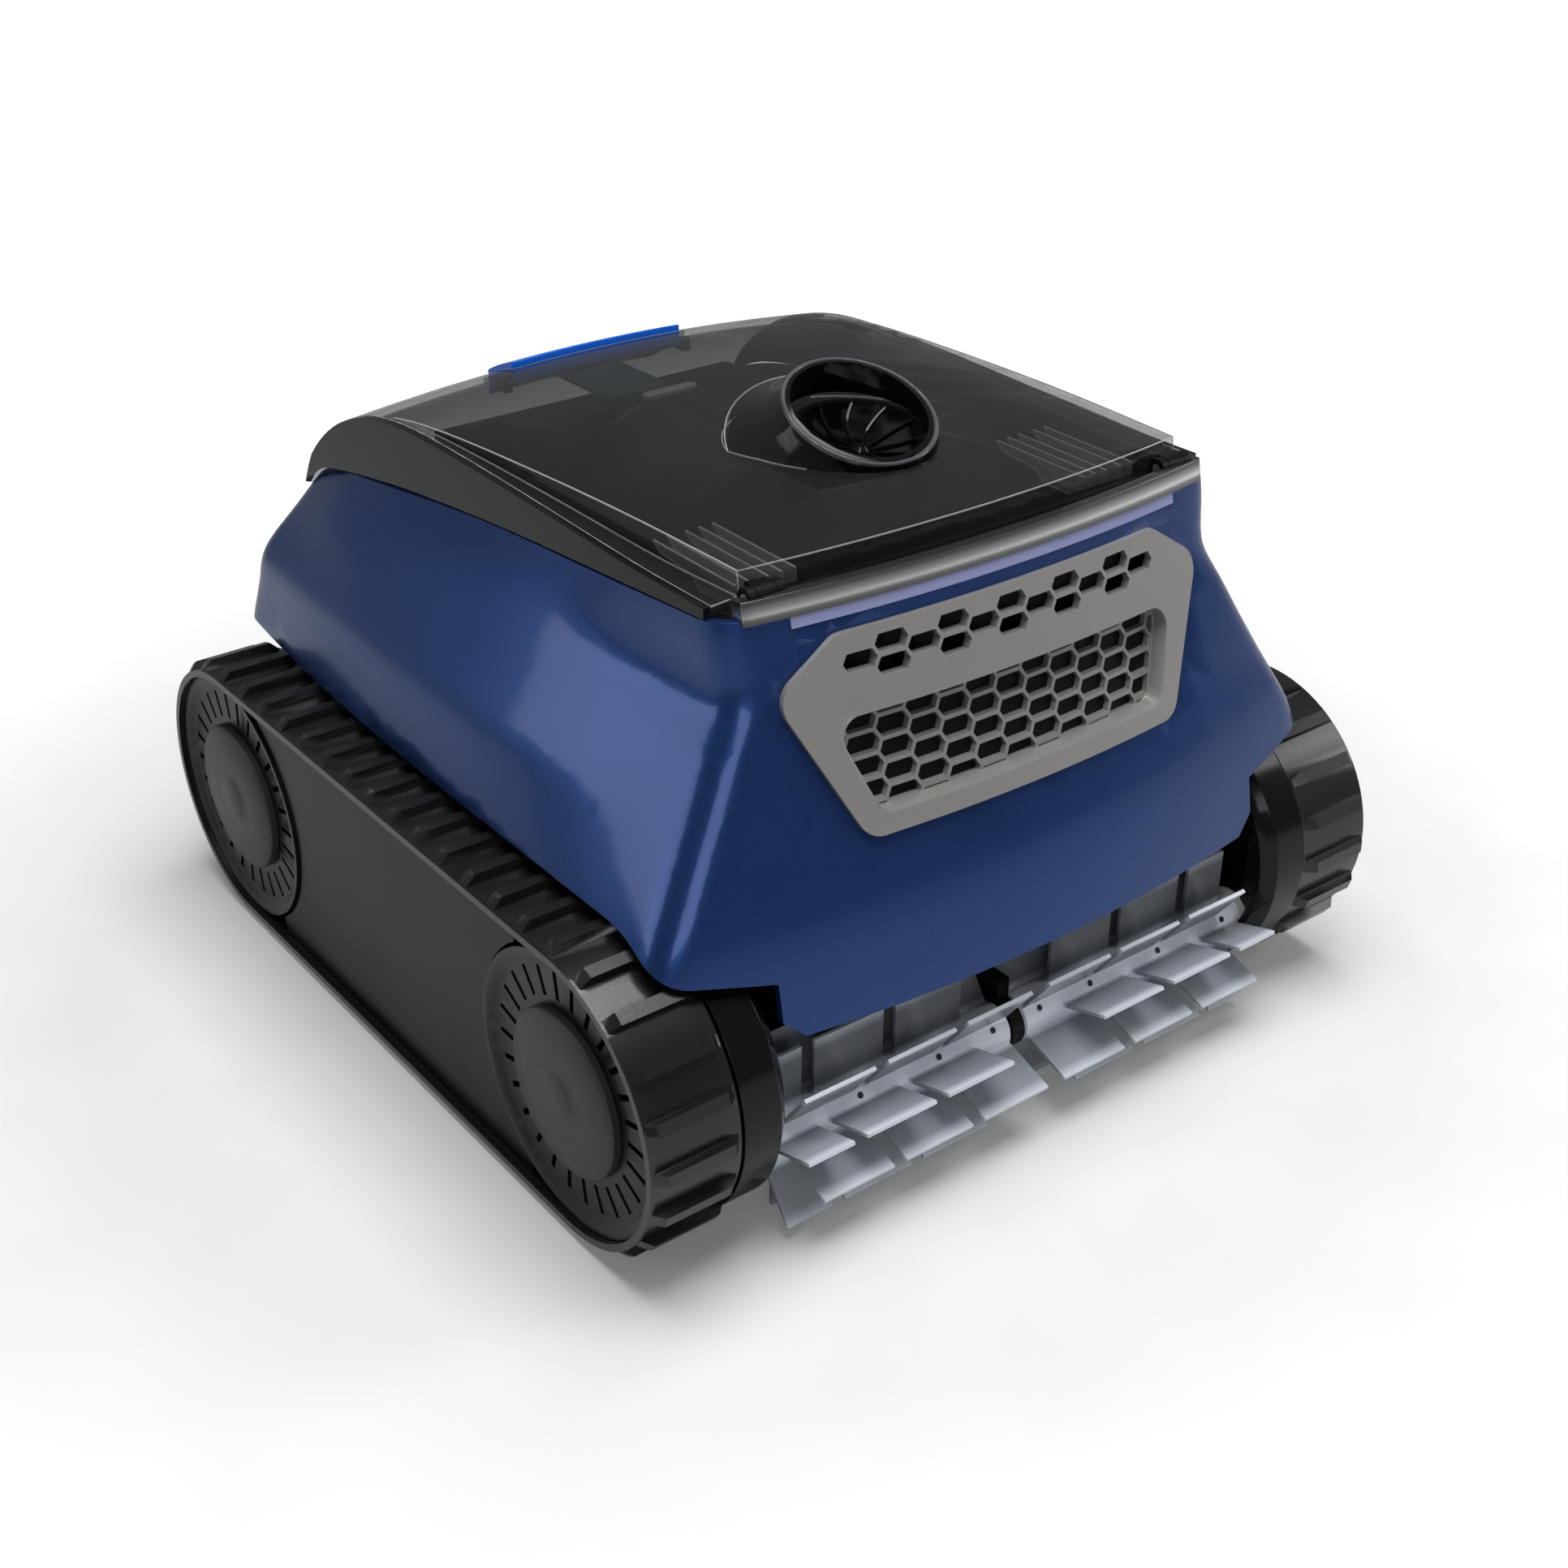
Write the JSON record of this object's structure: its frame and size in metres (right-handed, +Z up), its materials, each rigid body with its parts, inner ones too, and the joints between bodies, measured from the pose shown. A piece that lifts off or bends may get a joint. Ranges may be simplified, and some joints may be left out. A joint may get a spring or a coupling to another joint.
{
  "type": "robotic pool cleaner",
  "caption": "Tracked pool cleaning robot with a flared blue shell, clear smoke lid over a filter canister, pump outlet, hexagon grille and a split front brush.",
  "frame": {"origin": "on the floor under the middle of the whole object", "axes": "+X to the machine's left across its width, -Y towards the front with the brush and grille, +Z up"},
  "size_m": [0.3718, 0.4056, 0.2774],
  "materials": {
    "blue_paint": "metallic blue lacquer",
    "black_plastic": "fine grained black",
    "gloss_black": "polished black",
    "smoke_clear": "smoke tinted clear",
    "grille_grey": "satin metallic grey",
    "bright_trim": "satin bright",
    "pale_trim": "pale lilac grey",
    "belt_rubber": "satin moulded",
    "wheel_plastic": "satin black",
    "cap_plastic": "satin dark grey",
    "gear_acetal": "natural",
    "brush_tube_white": "satin white",
    "brush_pvc": "translucent grey",
    "steel": "bright",
    "handle_blue": "bright blue",
    "filter_fabric": "fine woven mesh",
    "motor_resin": "moulded",
    "board_green": "varnished"
  },
  "bodies": {
    "base": {"body_shell": "blue_paint", "brush_bushes": "gear_acetal", "brush_centre_support": "black_plastic", "cable_gland": "motor_resin", "chassis_base": "black_plastic", "control_board": "board_green", "filter_frame": "black_plastic", "filter_lid": "black_plastic", "filter_mesh": "filter_fabric", "front_grille": "grille_grey", "front_rim": "black_plastic", "front_strip_lower": "pale_trim", "front_strip_upper": "bright_trim", "gear_case_left": "gloss_black", "gear_case_right": "gloss_black", "grille_baffle": "black_plastic", "hinge_pins": "steel", "hull_screws": "steel", "inlet_throat": "black_plastic", "lid_gutter": "black_plastic", "motor_block": "motor_resin", "motor_block_cover": "motor_resin", "outlet_guard": "gloss_black", "pump_deck": "black_plastic", "pump_duct": "gloss_black", "pump_motor": "motor_resin", "rear_panel": "black_plastic", "side_cover_left": "black_plastic", "side_cover_right": "black_plastic", "stub_axles": "steel", "track_belt_left": "belt_rubber", "track_belt_right": "belt_rubber", "traction_motors": "motor_resin"},
    "front_wheel_left": {"wheel_front_left": "wheel_plastic", "hub_cap_front_left": "cap_plastic", "wheel_gear_left": "gear_acetal"},
    "rear_wheel_left": {"wheel_rear_left": "wheel_plastic", "hub_cap_rear_left": "cap_plastic"},
    "pinion_left": {"drive_pinion_left": "gear_acetal"},
    "brush_left": {"brush_tube_left": "brush_tube_white", "brush_blades_left": "brush_pvc", "brush_gear_left": "gear_acetal"},
    "front_wheel_right": {"wheel_front_right": "wheel_plastic", "hub_cap_front_right": "cap_plastic", "wheel_gear_right": "gear_acetal"},
    "rear_wheel_right": {"wheel_rear_right": "wheel_plastic", "hub_cap_rear_right": "cap_plastic"},
    "pinion_right": {"drive_pinion_right": "gear_acetal"},
    "brush_right": {"brush_tube_right": "brush_tube_white", "brush_blades_right": "brush_pvc", "brush_gear_right": "gear_acetal"},
    "lid": {"lid_window": "smoke_clear", "lid_side_rims": "gloss_black", "lid_hinge_arms": "black_plastic", "outlet_ring": "gloss_black", "latch_bracket": "black_plastic"},
    "latch": {"latch_handle": "handle_blue"},
    "impeller": {"propeller": "gear_acetal", "pump_shaft": "steel"},
    "flap": {"inlet_flap": "belt_rubber"}
  },
  "joints": [
    {"name": "front_wheel_left_spin", "type": "hinge", "parent": "base", "child": "front_wheel_left", "pos_m": [0, -0.13488, 0.0637], "axis": [1, 0, 0], "continuous": true},
    {"name": "rear_wheel_left_spin", "type": "hinge", "parent": "base", "child": "rear_wheel_left", "pos_m": [0, 0.13912, 0.0637], "axis": [1, 0, 0], "continuous": true},
    {"name": "pinion_left_spin", "type": "hinge", "parent": "base", "child": "pinion_left", "pos_m": [0, -0.09141, 0.07535], "axis": [1, 0, 0], "continuous": true},
    {"name": "brush_left_spin", "type": "hinge", "parent": "base", "child": "brush_left", "pos_m": [0, -0.16955, 0.03502], "axis": [1, 0, 0], "continuous": true},
    {"name": "front_wheel_right_spin", "type": "hinge", "parent": "base", "child": "front_wheel_right", "pos_m": [0, -0.13488, 0.0637], "axis": [1, 0, 0], "continuous": true},
    {"name": "rear_wheel_right_spin", "type": "hinge", "parent": "base", "child": "rear_wheel_right", "pos_m": [0, 0.13912, 0.0637], "axis": [1, 0, 0], "continuous": true},
    {"name": "pinion_right_spin", "type": "hinge", "parent": "base", "child": "pinion_right", "pos_m": [0, -0.09141, 0.07535], "axis": [1, 0, 0], "continuous": true},
    {"name": "brush_right_spin", "type": "hinge", "parent": "base", "child": "brush_right", "pos_m": [0, -0.16955, 0.03502], "axis": [1, 0, 0], "continuous": true},
    {"name": "lid_hinge", "type": "hinge", "parent": "base", "child": "lid", "pos_m": [0, -0.14488, 0.24], "axis": [1, 0, 0], "range_deg": [0, 60]},
    {"name": "latch_pivot", "type": "hinge", "parent": "lid", "child": "latch", "pos_m": [0, 0.11112, 0.23631], "axis": [1, 0, 0], "range_deg": [0, 15], "stiffness_Nm_per_rad": 0.15, "springref_deg": -20.05},
    {"name": "impeller_spin", "type": "hinge", "parent": "base", "child": "impeller", "pos_m": [0, -0.07758, 0.2563], "axis": [0, -0.153, 0.9882], "continuous": true},
    {"name": "flap_hinge", "type": "hinge", "parent": "base", "child": "flap", "pos_m": [0, 0.06412, 0.068], "axis": [-1, 0, 0], "range_deg": [0, 65]}
  ],
  "couplings": [
    {"joint": "rear_wheel_left_spin", "follows": "front_wheel_left_spin", "ratio": 1},
    {"joint": "pinion_left_spin", "follows": "front_wheel_left_spin", "ratio": -3.5},
    {"joint": "brush_left_spin", "follows": "front_wheel_left_spin", "ratio": -3.5},
    {"joint": "rear_wheel_right_spin", "follows": "front_wheel_right_spin", "ratio": 1},
    {"joint": "pinion_right_spin", "follows": "front_wheel_right_spin", "ratio": -3.5},
    {"joint": "brush_right_spin", "follows": "front_wheel_right_spin", "ratio": -3.5}
  ]
}
